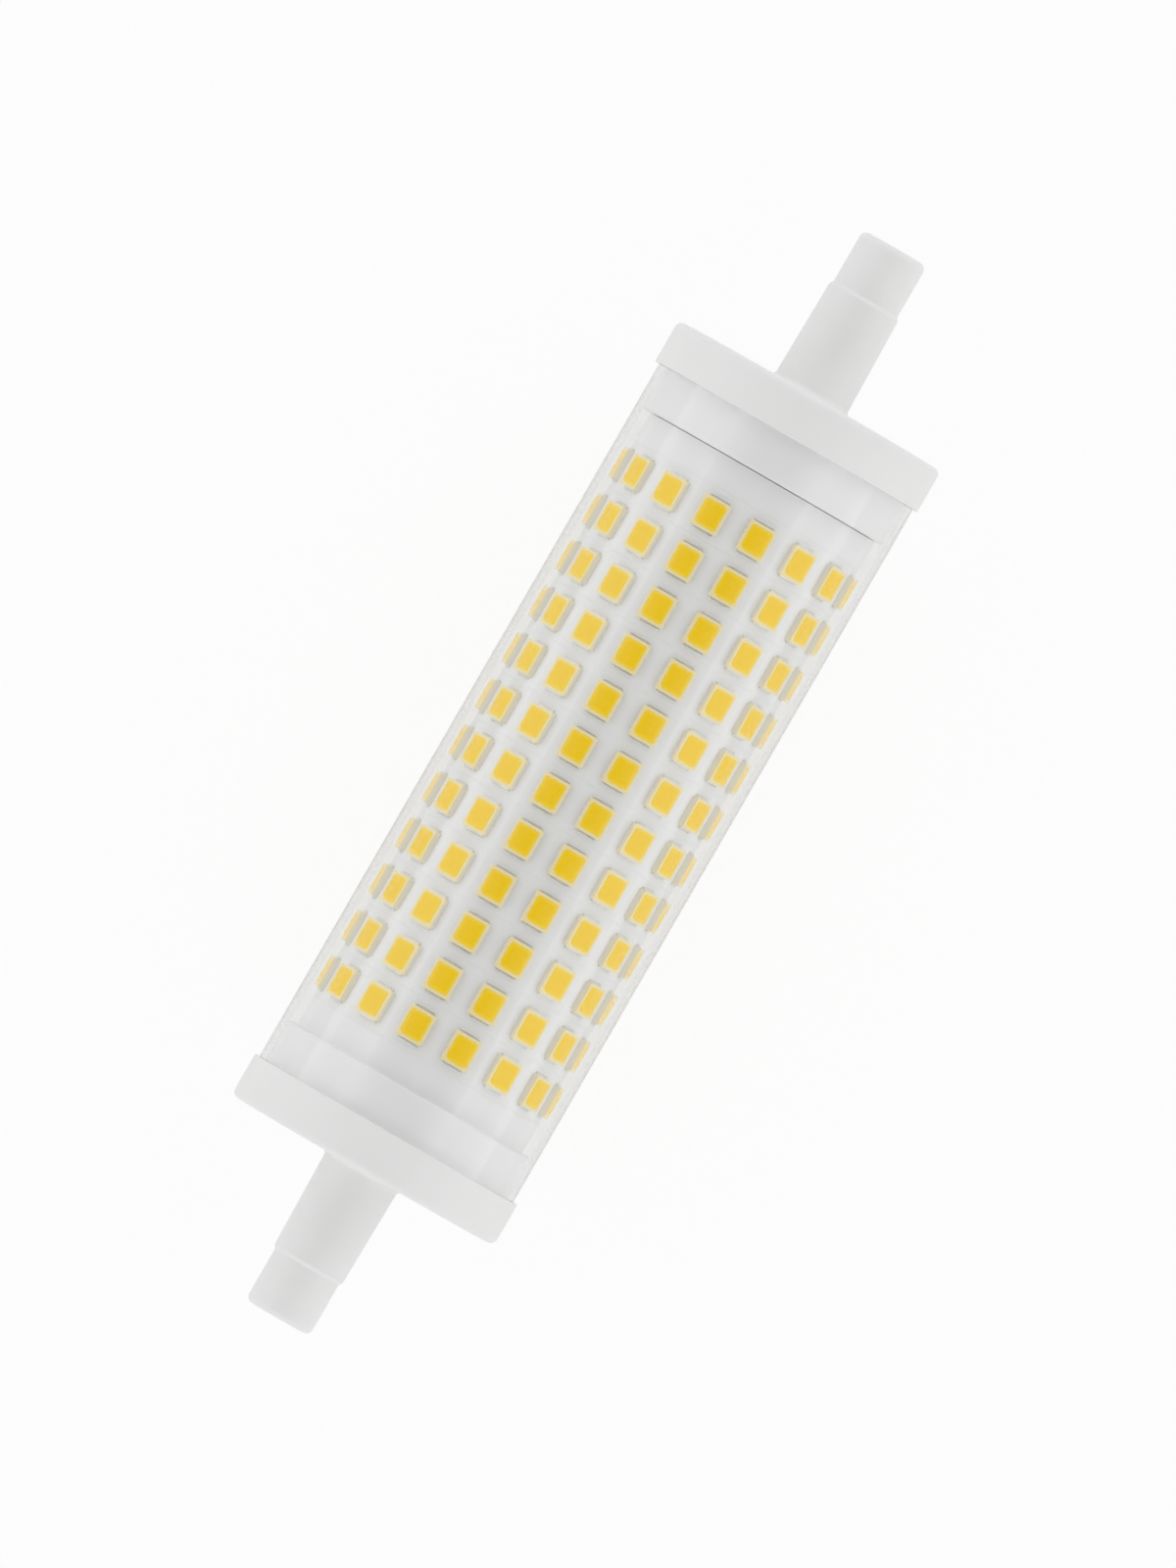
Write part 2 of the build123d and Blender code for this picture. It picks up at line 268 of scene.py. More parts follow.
class LampColours(bpy.types.PropertyGroup):
    """Colours of the surfaces that show."""

    tube: colour("Tube", "Clear plastic of the tube", (0.995, 1.0, 1.0))
    cap: colour("Cap", "White plastic of the caps", (0.88, 0.88, 0.875))
    board: colour("Board", "White solder mask", (0.88, 0.88, 0.88))
    board_core: colour("Board core", "Bare core at the board's cut ends", (0.74, 0.74, 0.72))
    # Painted light and shade on the packages: the walls' tint is greyer and darker as painted shade, and the
    # rim's tint is painted yellow light from the gel
    package: colour("Package", "Walls of an LED package", (0.82, 0.765, 0.62))
    package_lit_rim: colour("Package rim", "Rim that lets the gel's yellow through", (0.95, 0.81, 0.43))
    # The gel's tint also colours its faint painted glow
    gel: colour("Gel", "Middle of an LED's window", (0.95, 0.62, 0.004))
    gel_rim: colour("Gel rim", "Edge of an LED's window", (0.96, 0.69, 0.035))
    nickel: colour("Nickel", "Plated contacts", (0.72, 0.70, 0.66))
    led_tab: colour("LED tab", "Metal tabs of the LED packages", (0.86, 0.83, 0.76))
    solder: colour("Solder", "Solder joints", (0.84, 0.84, 0.82))


class DriverColours(bpy.types.PropertyGroup):
    """Colours of the hidden driver."""

    lead: colour("Lead", "Insulation of the mains leads", (0.55, 0.04, 0.03))
    liner: colour("Liner", "Insulating film", (0.75, 0.77, 0.78))
    mask: colour("Mask", "Solder mask of the driver board", (0.035, 0.17, 0.07))
    mask_pale: colour("Pale mask", "Paler clouds in the solder mask", (0.05, 0.22, 0.09))
    track: colour("Track", "Solder mask over a copper track", (0.08, 0.32, 0.12))
    film: colour("Film capacitor", "Lacquer of the film capacitor", (0.45, 0.09, 0.03))
    ferrite: colour("Ferrite", "Core of the choke", (0.045, 0.045, 0.05))
    wire: colour("Wire", "Enamelled wire of the choke", (0.66, 0.28, 0.11))
    # Painted shade: the dark colour between two turns stands for the shade in the crease between them
    wire_gap_shade: colour("Wire gap", "Between two turns of that wire", (0.28, 0.09, 0.03))
    fuse: colour("Fuse", "Body of the chip fuse", (0.24, 0.3, 0.34))
    sleeve: colour("Sleeve", "Sleeve of the smoothing capacitor", (0.03, 0.03, 0.05))
    chip: colour("Chip", "Black bodies of the chips", (0.02, 0.02, 0.022))
    resistor: colour("Resistor", "Bodies of the chip resistors", (0.03, 0.03, 0.035))


class StageSettings(bpy.types.PropertyGroup):
    """Camera, floor and light."""

    camera_distance: size("Camera distance", "From the lamp's axis to the camera", 3.5)
    view_height: size("View height", "Height of what the picture shows", 149.8 * MM)
    view_shift: size("View shift", "From the middle of the picture to the lamp's axis", 0.2 * MM)
    view_turn: FloatProperty(
        name="View turn", description="Turn of the camera about its view", default=math.radians(-60),
        subtype="ANGLE",
    )
    floor_size: size("Floor size", "Side of the floor", 20.0)
    paper: colour("Paper", "Paper of the floor", (0.90, 0.90, 0.90))
    paper_pale: colour("Pale paper", "Paler clouds in the paper", (0.92, 0.92, 0.92))
    floor_white: fraction("Floor white", "Share of plain white that the floor shows", 0.92)
    floor_through: fraction("Floor through", "The same share in gloss and through the tube", 0.48)
    side_light: brightness("Side light", "Brightness of the tent's walls", 1.0)
    top_light: brightness("Top light", "Share of it in the tent's top, round the camera", 0.12)
    low_light: brightness("Low light", "Share of it just above the floor", 1.4)
    top_start: fraction("Top start", "Height in the tent at which the top starts", 0.70)
    low_end: fraction("Low end", "Height in the tent at which the low light ends", 0.35)
    soft_lamp_power: FloatProperty(
        name="Soft lamp power", description="Power of each soft lamp", default=0.16, min=0.0, unit="POWER"
    )
    soft_lamp_size: size("Soft lamp size", "Side of each soft lamp", 0.4)
    soft_lamp_reach: size("Soft lamp reach", "From the middle to a soft lamp, along the axis", 0.55)
    soft_lamp_side: size("Soft lamp side", "From the axis to a soft lamp, sideways", 0.1)
    soft_lamp_height: size("Soft lamp height", "From the axis up to a soft lamp", 0.55)


# Shapes, as lists of points and faces

def skin(loops, closed=False):
    """Skin over loops that have the same number of points. It is capped unless it closes on itself."""
    count = len(loops[0])
    points = [point for loop in loops for point in loop]
    faces = []
    for band in range(len(loops) if closed else len(loops) - 1):
        low = band * count
        high = (band + 1) % len(loops) * count
        for here in range(count):
            after = (here + 1) % count
            faces.append((low + here, low + after, high + after, high + here))
    if not closed:
        faces.append(tuple(reversed(range(count))))
        faces.append(tuple(range(len(points) - count, len(points))))
    return points, faces


def box(low, high):
    """Plain block between two corners, for cutting and joining."""
    loops = [
        [(x, low[1], low[2]), (x, high[1], low[2]), (x, high[1], high[2]), (x, low[1], high[2])]
        for x in (low[0], high[0])
    ]
    return skin(loops)


def placed(shape, matrix):
    """Shape moved by a matrix."""
    points, faces = shape
    return [matrix @ Vector(point) for point in points], faces


def joined(shapes):
    """Several shapes as one."""
    points = []
    faces = []
    for some_points, some_faces in shapes:
        start = len(points)
        points.extend(some_points)
        faces.extend(tuple(start + corner for corner in face) for face in some_faces)
    return points, faces


def both_ends(shape):
    """Shape at the right end, and its mirror image at the left end."""
    return joined([shape, placed(shape, Matrix.Diagonal((-1, 1, 1, 1)))])


def mesh_of(name, shape):
    """Mesh of a shape, with its faces turned outward and smooth between sharp edges."""
    mesh = bpy.data.meshes.new(name)
    points, faces = shape
    mesh.from_pydata([tuple(point) for point in points], [], faces)
    return finished(mesh)


def finished(mesh):
    """Turn a mesh's faces outward and shade it smooth between sharp edges."""
    work = bmesh.new()
    work.from_mesh(mesh)
    bmesh.ops.recalc_face_normals(work, faces=work.faces)
    work.to_mesh(mesh)
    work.free()
    mesh.shade_smooth()
    mesh.set_sharp_from_angle(angle=SHARP_ANGLE)
    return mesh


def worked(name, shape, cuts=(), additions=()):
    """Mesh of a shape with some shapes cut away and others joined on."""
    scene_objects = bpy.context.scene.collection.objects
    base = bpy.data.objects.new(name, mesh_of(name, shape))
    scene_objects.link(base)
    tools = []
    for operation, tool_shapes in (("DIFFERENCE", cuts), ("UNION", additions)):
        for tool_shape in tool_shapes:
            tool = bpy.data.objects.new("tool", mesh_of("tool", tool_shape))
            scene_objects.link(tool)
            tools.append(tool)
            modifier = base.modifiers.new(operation, "BOOLEAN")
            modifier.operation = operation
            modifier.solver = "EXACT"
            modifier.object = tool
    graph = bpy.context.evaluated_depsgraph_get()
    mesh = bpy.data.meshes.new_from_object(base.evaluated_get(graph))
    for extra in [base, *tools]:
        old_mesh = extra.data
        bpy.data.objects.remove(extra)
        bpy.data.meshes.remove(old_mesh)
    mesh.name = name
    return finished(mesh)


def shape_of_mesh(mesh):
    """Points and faces of a mesh."""
    return [point.co.copy() for point in mesh.vertices], [tuple(face.vertices) for face in mesh.polygons]


def outward(angle):
    """Direction away from the axis, at an angle from straight up."""
    return Vector((0, -math.sin(angle), math.cos(angle)))


def turn_angles():
    """Angles of a full turn about the axis."""
    return [2 * math.pi * step / TURN_STEPS for step in range(TURN_STEPS)]


def flat_angle(side_distance, bend):
    """Angle from the middle of a side to where its rounded fold starts."""
    return math.atan((side_distance - bend) * math.tan(SIDE_TURN / 2) / side_distance)


def sided_reach(angle, side_distance, bend=0.0):
    """Distance from the axis to the many-sided outline with rounded folds."""
    half = SIDE_TURN / 2
    off = abs(angle % SIDE_TURN - half)
    if off <= flat_angle(side_distance, bend):
        return side_distance / math.cos(off)
    middle = (side_distance - bend) / math.cos(half)
    return middle * math.cos(half - off) + math.sqrt(bend**2 - (middle * math.sin(half - off)) ** 2)


def round_ring(x, radius):
    """Round loop about the axis."""
    return [ALONG * x + outward(angle) * radius for angle in turn_angles()]


def sided_ring(x, side_distance):
    """Many-sided loop about the axis."""
    return [ALONG * x + outward(angle) * sided_reach(angle, side_distance) for angle in turn_angles()]


def rounded_section(section):
    """Section of points (x, reach, radius, ring) with its corners rounded.

    A point beside each end of an arc keeps the shading of the straight part plain.
    """
    fine = []
    for place, (x, reach, radius, ring) in enumerate(section):
        corner = Vector((x, reach))
        if radius == 0:
            fine.append((x, reach, ring))
            continue
        back = (Vector(section[place - 1][:2]) - corner).normalized()
        on = (Vector(section[(place + 1) % len(section)][:2]) - corner).normalized()
        half = back.angle(on) / 2
        cut = radius / math.tan(half)
        middle = corner + (back + on).normalized() * radius / math.sin(half)
        start = (corner + back * cut - middle).normalized()
        end = (corner + on * cut - middle).normalized()
        points = [corner + back * cut * BESIDE_ARC]
        for step in range(ARC_STEPS + 1):
            points.append(middle + start.slerp(end, step / ARC_STEPS) * radius)
        points.append(corner + on * cut * BESIDE_ARC)
        fine.extend((point.x, point.y, ring) for point in points)
    return fine


def turned(section):
    """Closed form of rings about the axis, from a closed section."""
    return skin([ring(x, reach) for x, reach, ring in rounded_section(section)], closed=True)


def rounded_outline(length, width, height, corners, middle=0.0):
    """Flat loop of a rectangle about a place on X, with its own rounding at each of its four corners."""
    loop = []
    for quarter, radius in enumerate(corners):
        start = quarter * math.pi / 2
        sign_x = 1 if quarter in (0, 3) else -1
        sign_y = 1 if quarter in (0, 1) else -1
        for step in range(CORNER_STEPS + 1):
            angle = start + step / CORNER_STEPS * math.pi / 2
            x = sign_x * (length / 2 - radius) + radius * math.cos(angle)
            y = sign_y * (width / 2 - radius) + radius * math.sin(angle)
            loop.append(Vector((middle + x, y, height)))
    return loop


def side_directions(side):
    """Directions out of a side of the LED board and across it."""
    up = outward((side + 0.5) * SIDE_TURN)
    return up, up.cross(ALONG)


def side_matrix(side, distance):
    """Place on a side of the LED board, with X along the lamp and Z outward."""
    up, across = side_directions(side)
    rotation = Matrix((ALONG, across, up)).transposed().to_4x4()
    return Matrix.Translation(up * distance) @ rotation


def row_pitch(leds):
    """Distance from one package to the next along a side."""
    return (packages_high.x - packages_low.x - leds.length) / (leds.rows - 1)


def led_places(pair, leds, board):
    """Places of the packages on a pair of neighbouring sides."""
    spots = [(row - (leds.rows - 1) / 2) * row_pitch(leds) for row in range(leds.rows)]
    return [
        side_matrix(side, board.face) @ Matrix.Translation((spot, 0, 0))
        for side in (2 * pair - 1, 2 * pair)
        for spot in spots
    ]


def new_piece(name, mesh, material):
    """Piece that rides on the lamp, with its finish."""
    piece = bpy.data.objects.new(name, mesh)
    bpy.context.scene.collection.objects.link(piece)
    mesh.materials.clear()
    mesh.materials.append(material)
    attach(piece, BODY)
    return piece


def finish_some(mesh, material, chosen):
    """Second finish on the faces of a mesh that a test chooses."""
    mesh.materials.append(material)
    for face in mesh.polygons:
        if chosen(face):
            face.material_index = 1


# Materials

def start_material(name):
    """New material, its node tree and its main shader."""
    material = bpy.data.materials.new(name)
    material.use_nodes = True
    tree = material.node_tree
    return material, tree, tree.nodes["Principled BSDF"]


def fill(tree, node, sockets):
    """Fill a node's inputs by links, or by values on the sockets themselves."""
    for key, value in sockets.items():
        if isinstance(value, bpy.types.NodeSocket):
            tree.links.new(value, node.inputs[key])
        else:
            node.inputs[key].default_value = value


def add(tree, kind, sockets=None, **settings):
    """Node with its settings, and with its inputs filled."""
    node = tree.nodes.new("ShaderNode" + kind)
    for name, value in settings.items():
        setattr(node, name, value)
    fill(tree, node, sockets or {})
    return node


def show(tree, surface):
    """Show a surface instead of the main shader alone."""
    tree.links.new(surface, tree.nodes["Material Output"].inputs["Surface"])


def math_of(tree, operation, first, second=0.0):
    """Output of one arithmetic step on two values or links."""
    return add(tree, "Math", {0: first, 1: second}, operation=operation).outputs[0]


def parts_of(tree, vector):
    """Three parts of a vector."""
    return add(tree, "SeparateXYZ", {0: vector}).outputs


def map_parts(tree, name):
    """Parts of the place on a map of a mesh."""
    return parts_of(tree, add(tree, "UVMap", uv_map=name).outputs[0])


def places(tree):
    """Coordinates in metres in the lamp's own frame."""
    return add(tree, "TexCoord").outputs["Object"]


def noise(tree, scale, detail=2.0, stretch=None):
    """Noise with a number of features per metre, drawn out along the axes by stretch."""
    vector = places(tree)
    if stretch:
        vector = add(tree, "Mapping", {"Vector": vector, "Scale": stretch}).outputs[0]
    return add(tree, "TexNoise", {"Vector": vector, "Scale": scale, "Detail": detail}).outputs["Fac"]


def between(tree, factor, low, high, start=0.3, end=0.7, **settings):
    """Value that goes from low to high as the factor goes from start to end."""
    sockets = {"Value": factor, "From Min": start, "From Max": end, "To Min": low, "To Max": high}
    return add(tree, "MapRange", sockets, **settings).outputs["Result"]


def uneven(tree, scale, low, high):
    """Value that wanders between low and high over the surface."""
    return between(tree, noise(tree, scale), low, high)


def blend(tree, factor, first, second):
    """Colour between two colours or links."""
    sockets = {0: factor}
    for place, value in ((MIX_FIRST, first), (MIX_SECOND, second)):
        sockets[place] = value if isinstance(value, bpy.types.NodeSocket) else (*value, 1.0)
    return add(tree, "Mix", sockets, data_type="RGBA").outputs[MIX_RESULT]


def shade(tint, share):
    """Colour made a little darker or lighter."""
    return tuple(min(1.0, part * share) for part in tint)


def mottled(tree, tint, scale, low, high, detail=2.0):
    """Colour that wanders between two shades of a tint."""
    return blend(tree, noise(tree, scale, detail), shade(tint, low), shade(tint, high))


def relief(tree, height, depth):
    """Surface direction from a height, as deep as depth in metres."""
    return add(tree, "Bump", {"Height": height, "Strength": 1.0, "Distance": depth}).outputs[0]


def moulded(name, tint, roughness=0.45, grain=1800.0, depth=0.004 * MM, mottle=0.025):
    """Moulded plastic with a fine grain and a faint cloudiness."""
    material, tree, shader = start_material(name)
    swing = 0.06
    fill(tree, shader, {
        "Base Color": mottled(tree, tint, scale=180.0, low=1 - mottle, high=1 + mottle),
        "Roughness": uneven(tree, scale=600.0, low=roughness - swing, high=roughness + swing),
        "Normal": relief(tree, noise(tree, grain, detail=3.0), depth),
    })
    return material


def led_moulding(tint, rim_tint):
    """Pale moulding of an LED package, with its walls in the darker tint as painted shade and the top of its
    rim painted lighter and yellower as painted light from the gel.
    """
    material = moulded("led_moulding", tint, roughness=0.4, grain=3000.0, depth=0.002 * MM)
    tree = material.node_tree
    base = tree.nodes["Principled BSDF"].inputs["Base Color"]
    wall = base.links[0].from_socket
    # Painted light: from half way up the package to its top the colour goes over to the lighter, yellower
    # rim tint, while the walls below keep the darker painted shade
    rim = between(tree, map_parts(tree, "rise")[0], low=0.0, high=1.0, start=0.5, end=0.95)
    tree.links.new(blend(tree, rim, wall, rim_tint), base)
    return material


def clear_plastic(tint):
    """Clear drawn tube with faint draw lines. Lamps and diffuse light pass straight through it."""
    material, tree, shader = start_material("clear_tube")
    lines = noise(tree, scale=60.0, detail=1.0, stretch=(0.4, 12.0, 12.0))
    fill(tree, shader, {
        "Base Color": (*tint, 1.0),
        "Transmission Weight": 1.0,
        "IOR": 1.46,
        "Roughness": between(tree, lines, low=0.0, high=0.02),
        "Normal": relief(tree, lines, depth=0.001 * MM),
    })
    path = add(tree, "LightPath").outputs
    clear = add(tree, "BsdfTransparent").outputs[0]
    surface = shader.outputs[0]
    for ray in ("Is Shadow Ray", "Is Diffuse Ray"):
        surface = add(tree, "MixShader", {0: path[ray], 1: surface, 2: clear}).outputs[0]
    show(tree, surface)
    return material


def solder_mask(tint, board, leds):
    """White solder mask over copper areas, whose gaps show as faint grooves half way between the LEDs, a
    little darker in the grooves as painted shade.
    """
    material, tree, shader = start_material("solder_mask")
    pitch = row_pitch(leds)
    half_row = 0.5
    groove_floor = board.track_gap / 3
    grain_share = 0.15
    in_rows = math_of(tree, "DIVIDE", map_parts(tree, "side_plane")[0], pitch)
    from_led = math_of(tree, "FRACT", math_of(tree, "ADD", in_rows, half_row))
    from_gap = math_of(tree, "ABSOLUTE", math_of(tree, "SUBTRACT", from_led, half_row))
    to_gap = math_of(tree, "MULTIPLY", from_gap, pitch)
    copper = between(tree, to_gap, low=0.0, high=1.0, start=groove_floor, end=board.track_gap)
    paint = mottled(tree, tint, scale=250.0, low=0.975, high=1.02)
    grain = math_of(tree, "MULTIPLY", noise(tree, scale=2500.0), grain_share)
    fill(tree, shader, {
        # Painted shade: the mask is a little darker in the grooves between copper areas
        "Base Color": blend(tree, copper, shade(tint, share=0.98), paint),
        "Roughness": uneven(tree, scale=900.0, low=0.3, high=0.42),
        "Normal": relief(tree, math_of(tree, "ADD", copper, grain), board.track_relief),
    })
    return material


def phosphor_gel(tint, rim_tint):
    """Yellow silicone gel full of powder that gives blue light back as yellow, paler at the thin rim, with a
    faint painted glow of its own yellow although the LED is not lit.
    """
    material, tree, shader = start_material("phosphor_gel")
    along, across, _ = map_parts(tree, "window")
    off = math_of(
        tree, "MAXIMUM", math_of(tree, "ABSOLUTE", along), math_of(tree, "ABSOLUTE", across)
    )
    rim = between(tree, off, low=0.0, high=1.0, start=0.7, end=1.0)
    powder = mottled(tree, tint, scale=5000.0, low=0.93, high=1.05, detail=3.0)
    batch = blend(tree, uneven(tree, scale=220.0, low=0.0, high=1.0), shade(tint, share=0.97), powder)
    fill(tree, shader, {
        "Base Color": blend(tree, rim, batch, rim_tint),
        "Roughness": uneven(tree, scale=1500.0, low=0.22, high=0.34),
        "Normal": relief(tree, noise(tree, scale=6000.0), depth=0.003 * MM),
        "Specular IOR Level": 0.2,
        # Painted glow: the gel gives off a little light of its own tint, although the LED is not lit
        "Emission Color": (*tint, 1.0),
        "Emission Strength": 0.08,
    })
    return material


def plated_metal(name, tint, roughness=0.22):
    """Plated or tinned metal with fine streaks."""
    material, tree, shader = start_material(name)
    streaks = noise(tree, scale=900.0, detail=4.0)
    smoother = 0.08
    rougher = 0.1
    fill(tree, shader, {
        "Metallic": 1.0,
        "Base Color": mottled(tree, tint, scale=700.0, low=0.9, high=1.05),
        "Roughness": between(tree, streaks, low=roughness - smoother, high=roughness + rougher),
        "Normal": relief(tree, streaks, depth=0.003 * MM),
    })
    return material


def turned_metal(tint):
    """Nickel plated contact with the fine rings of turning."""
    material, tree, shader = start_material("turned_nickel")
    rings = add(
        tree, "TexWave", {"Vector": places(tree), "Scale": 3200.0, "Distortion": 1.5, "Detail": 2.0},
        wave_type="RINGS", rings_direction="X",
    ).outputs["Fac"]
    fill(tree, shader, {
        "Metallic": 1.0,
        "Base Color": blend(tree, rings, shade(tint, share=0.92), shade(tint, share=1.04)),
        "Roughness": uneven(tree, scale=1200.0, low=0.2, high=0.36),
        "Normal": relief(tree, rings, depth=0.006 * MM),
    })
    return material


def two_tone(name, tint, axis, limit, middle, metal_tint, roughness=0.5, metal_roughness=0.25):
    """Body of one colour with tinned metal beyond a distance from its middle along one axis."""
    material, tree, shader = start_material(name)
    off = math_of(tree, "ABSOLUTE", math_of(tree, "SUBTRACT", parts_of(tree, places(tree))[axis], middle))
    metal = math_of(tree, "GREATER_THAN", off, limit)
    body = mottled(tree, tint, scale=800.0, low=0.85, high=1.15)
    bright = mottled(tree, metal_tint, scale=900.0, low=0.9, high=1.0)
    fill(tree, shader, {
        "Base Color": blend(tree, metal, body, bright),
        "Metallic": metal,
        "Roughness": between(tree, metal, roughness, metal_roughness, start=0.0, end=1.0),
        "Normal": relief(tree, noise(tree, scale=2500.0, detail=3.0), depth=0.004 * MM),
    })
    return material


def circuit_board(mask, mask_pale, track):
    """Green solder mask with copper tracks beneath it."""
    material, tree, shader = start_material("driver_solder_mask")
    sockets = {"Vector": places(tree), "Scale": 160.0, "Mortar Size": 0.03}
    tracks = add(tree, "TexBrick", sockets).outputs["Fac"]
    clouds = blend(tree, noise(tree, scale=300.0), mask, mask_pale)
    fill(tree, shader, {
        "Base Color": blend(tree, tracks, clouds, track),
        "Roughness": uneven(tree, scale=700.0, low=0.25, high=0.4),
        "Normal": relief(tree, tracks, depth=0.02 * MM),
    })
    return material


def wound_wire(wire, wire_gap_shade):
    """Enamelled copper wire wound round an upright leg, turn on turn, with painted shade in the creases
    between the turns.
    """
    material, tree, shader = start_material("wound_copper")
    turns = add(
        tree, "TexWave", {"Vector": places(tree), "Scale": 800.0, "Distortion": 0.4},
        wave_type="BANDS", bands_direction="Z",
    ).outputs["Fac"]
    fill(tree, shader, {
        # Painted shade: the bands between the turns take the darker colour
        "Base Color": blend(tree, turns, wire_gap_shade, wire),
        "Metallic": 0.8,
        "Roughness": uneven(tree, scale=900.0, low=0.25, high=0.4),
        "Normal": relief(tree, turns, depth=0.08 * MM),
    })
    return material


def tent_floor(stage):
    """Pale paper that looks near white and keeps the lamp's shadow, most of all where the tube shows it."""
    material, tree, shader = start_material("pale_paper")
    fill(tree, shader, {
        "Base Color": blend(tree, noise(tree, scale=40.0), stage.paper, stage.paper_pale),
        "Roughness": 0.9,
        "Specular IOR Level": 0.1,
    })
    path = add(tree, "LightPath").outputs
    through = math_of(tree, "MAXIMUM", path["Is Glossy Ray"], path["Is Transmission Ray"])
    through_share = math_of(tree, "MULTIPLY", through, stage.floor_through)
    seen_share = math_of(tree, "MULTIPLY", path["Is Camera Ray"], stage.floor_white)
    share = math_of(tree, "MAXIMUM", seen_share, through_share)
    white = add(tree, "Emission", {"Color": WHITE, "Strength": 1.0}).outputs[0]
    show(tree, add(tree, "MixShader", {0: share, 1: shader.outputs[0], 2: white}).outputs[0])
    return material


# Pieces

def plug_reaches(cap, board):
    """Distances from the axis to the outside and the inside of a plug's walls."""
    outside = board.face - board.thickness - cap.plug_clearance
    return outside, outside - cap.plug_wall


def cap_section(tube, cap, contact, board):
    """Closed half section of the right cap, from the way for the lead round the outside to the cavity."""
    tip_root = cap.tip_end - cap.tip_length
    contact_seat = contact.face - contact.length
    flange_inner = tube.half_length
    flange_outer = flange_inner + cap.flange_length
    spigot_end = flange_inner - cap.spigot_length
    spigot_radius = tube.radius - tube.wall - cap.spigot_clearance
    plug_end = spigot_end - cap.plug_length
    plug_outside, plug_inside = plug_reaches(cap, board)
    cavity_end = flange_outer - cap.end_wall
    return [
        (cavity_end, cap.lead_bore_radius, 0, round_ring),
        (contact_seat, cap.lead_bore_radius, 0, round_ring),
        (contact_seat, cap.contact_bore_radius, 0, round_ring),
        (contact.face, cap.contact_bore_radius, 0, round_ring),
        (contact.face, cap.recess_radius, 0, round_ring),
        (cap.tip_end, cap.recess_radius, cap.recess_edge, round_ring),
        (cap.tip_end, cap.tip_radius, cap.tip_edge, round_ring),
        (tip_root + cap.shoulder, cap.tip_radius, cap.shoulder_edge, round_ring),
        (tip_root, cap.post_end_radius, cap.shoulder_edge, round_ring),
        (flange_outer, cap.post_root_radius, cap.post_flare, round_ring),
        (flange_outer, cap.flange_radius, cap.flange_edge, round_ring),
        (flange_inner, cap.flange_radius, cap.flange_lip, round_ring),
        (flange_inner, spigot_radius, 0, round_ring),
        (spigot_end, spigot_radius, cap.spigot_edge, round_ring),
        (spigot_end, plug_outside, 0, sided_ring),
        (plug_end, plug_outside, 0, sided_ring),
        (plug_end, plug_inside, 0, sided_ring),
        (cavity_end, plug_inside, 0, sided_ring),
    ]


def cap_rails(cap, plug_end, plug_inside):
    """Four rails that hold the driver board by its two edges."""
    rails = []
    for sign in (-1, 1):
        inner = sign * (plug_inside - cap.rail_depth)
        outer = sign * (plug_inside + cap.rail_root)
        for low in (driver_high.z + cap.rail_clearance, driver_low.z - cap.rail_clearance - cap.rail_height):
            rails.append(
                box(
                    (plug_end, min(inner, outer), low),
                    (plug_end + cap.rail_length, max(inner, outer), low + cap.rail_height),
                )
            )
    return rails


def contact_shape(contact):
    """Contact at the right end, with a domed face and a rounded edge."""
    seat = contact.face - contact.length
    loops = [round_ring(seat, contact.radius * CONTACT_HUB), round_ring(seat, contact.radius)]
    loops.append(round_ring(contact.face - contact.edge, contact.radius))
    for share in CONTACT_DOME:
        loops.append(round_ring(contact.face - contact.dome * share**2, contact.radius * share))
    return skin(loops)


def board_angles(board):
    """Angles of the folded strip, from one edge of the seam round to the other."""
    half = SIDE_TURN / 2
    flat = flat_angle(board.face, board.bend)
    steps = [step / ARC_STEPS for step in range(ARC_STEPS + 1)]
    fold = [flat + (half - flat) * step for step in steps]
    side = [-angle for angle in reversed(fold)] + fold
    slit = board.seam / 2 / sided_reach(half, board.face, board.bend)
    angles = []
    for turn in range(SIDES):
        middle = (SEAM_FOLD + 0.5 + turn) * SIDE_TURN
        angles.extend(middle + angle for angle in side[:-1])
    angles.append((SEAM_FOLD + SIDES) * SIDE_TURN - slit)
    angles[0] += slit
    return angles


def board_shape(board):
    """Strip folded to a tube with flat sides, open at the seam."""
    angles = board_angles(board)
    count = len(angles)
    loops = []
    for x in (board_low.x, -board_low.x - board.end_gap):
        end = ALONG * x
        outer = [end + outward(angle) * sided_reach(angle, board.face, board.bend) for angle in angles]
        inner = [end + outward(angle) * sided_reach(angle, board.face - board.thickness) for angle in angles]
        loops.append(outer + inner[::-1])
    points, faces = skin(loops)
    faces = faces[:-2]  # the flat ends make way for strips of faces between the outer and inner edges
    for start in (0, 2 * count):
        for here in range(count - 1):
            back = 2 * count - 1 - here
            faces.append((start + here, start + here + 1, start + back - 1, start + back))
    return points, faces


def map_sides(mesh):
    """Map each face by its place along the lamp and across its side, in metres."""
    layer = mesh.uv_layers.new(name="side_plane")
    for face in mesh.polygons:
        angle = math.atan2(-face.center.y, face.center.z)
        across = side_directions(math.floor(angle / SIDE_TURN))[1]
        for corner in face.loop_indices:
            point = mesh.vertices[mesh.loops[corner].vertex_index].co
            layer.data[corner].uv = (point.x, point.dot(across))


def window_corners(leds, share=1.0):
    """Rounding of a window's four corners, one of which marks the cathode."""
    corners = [leds.window_corner] * 4
    corners[MARKED_CORNER] = leds.mark_corner
    return [radius * share for radius in corners]


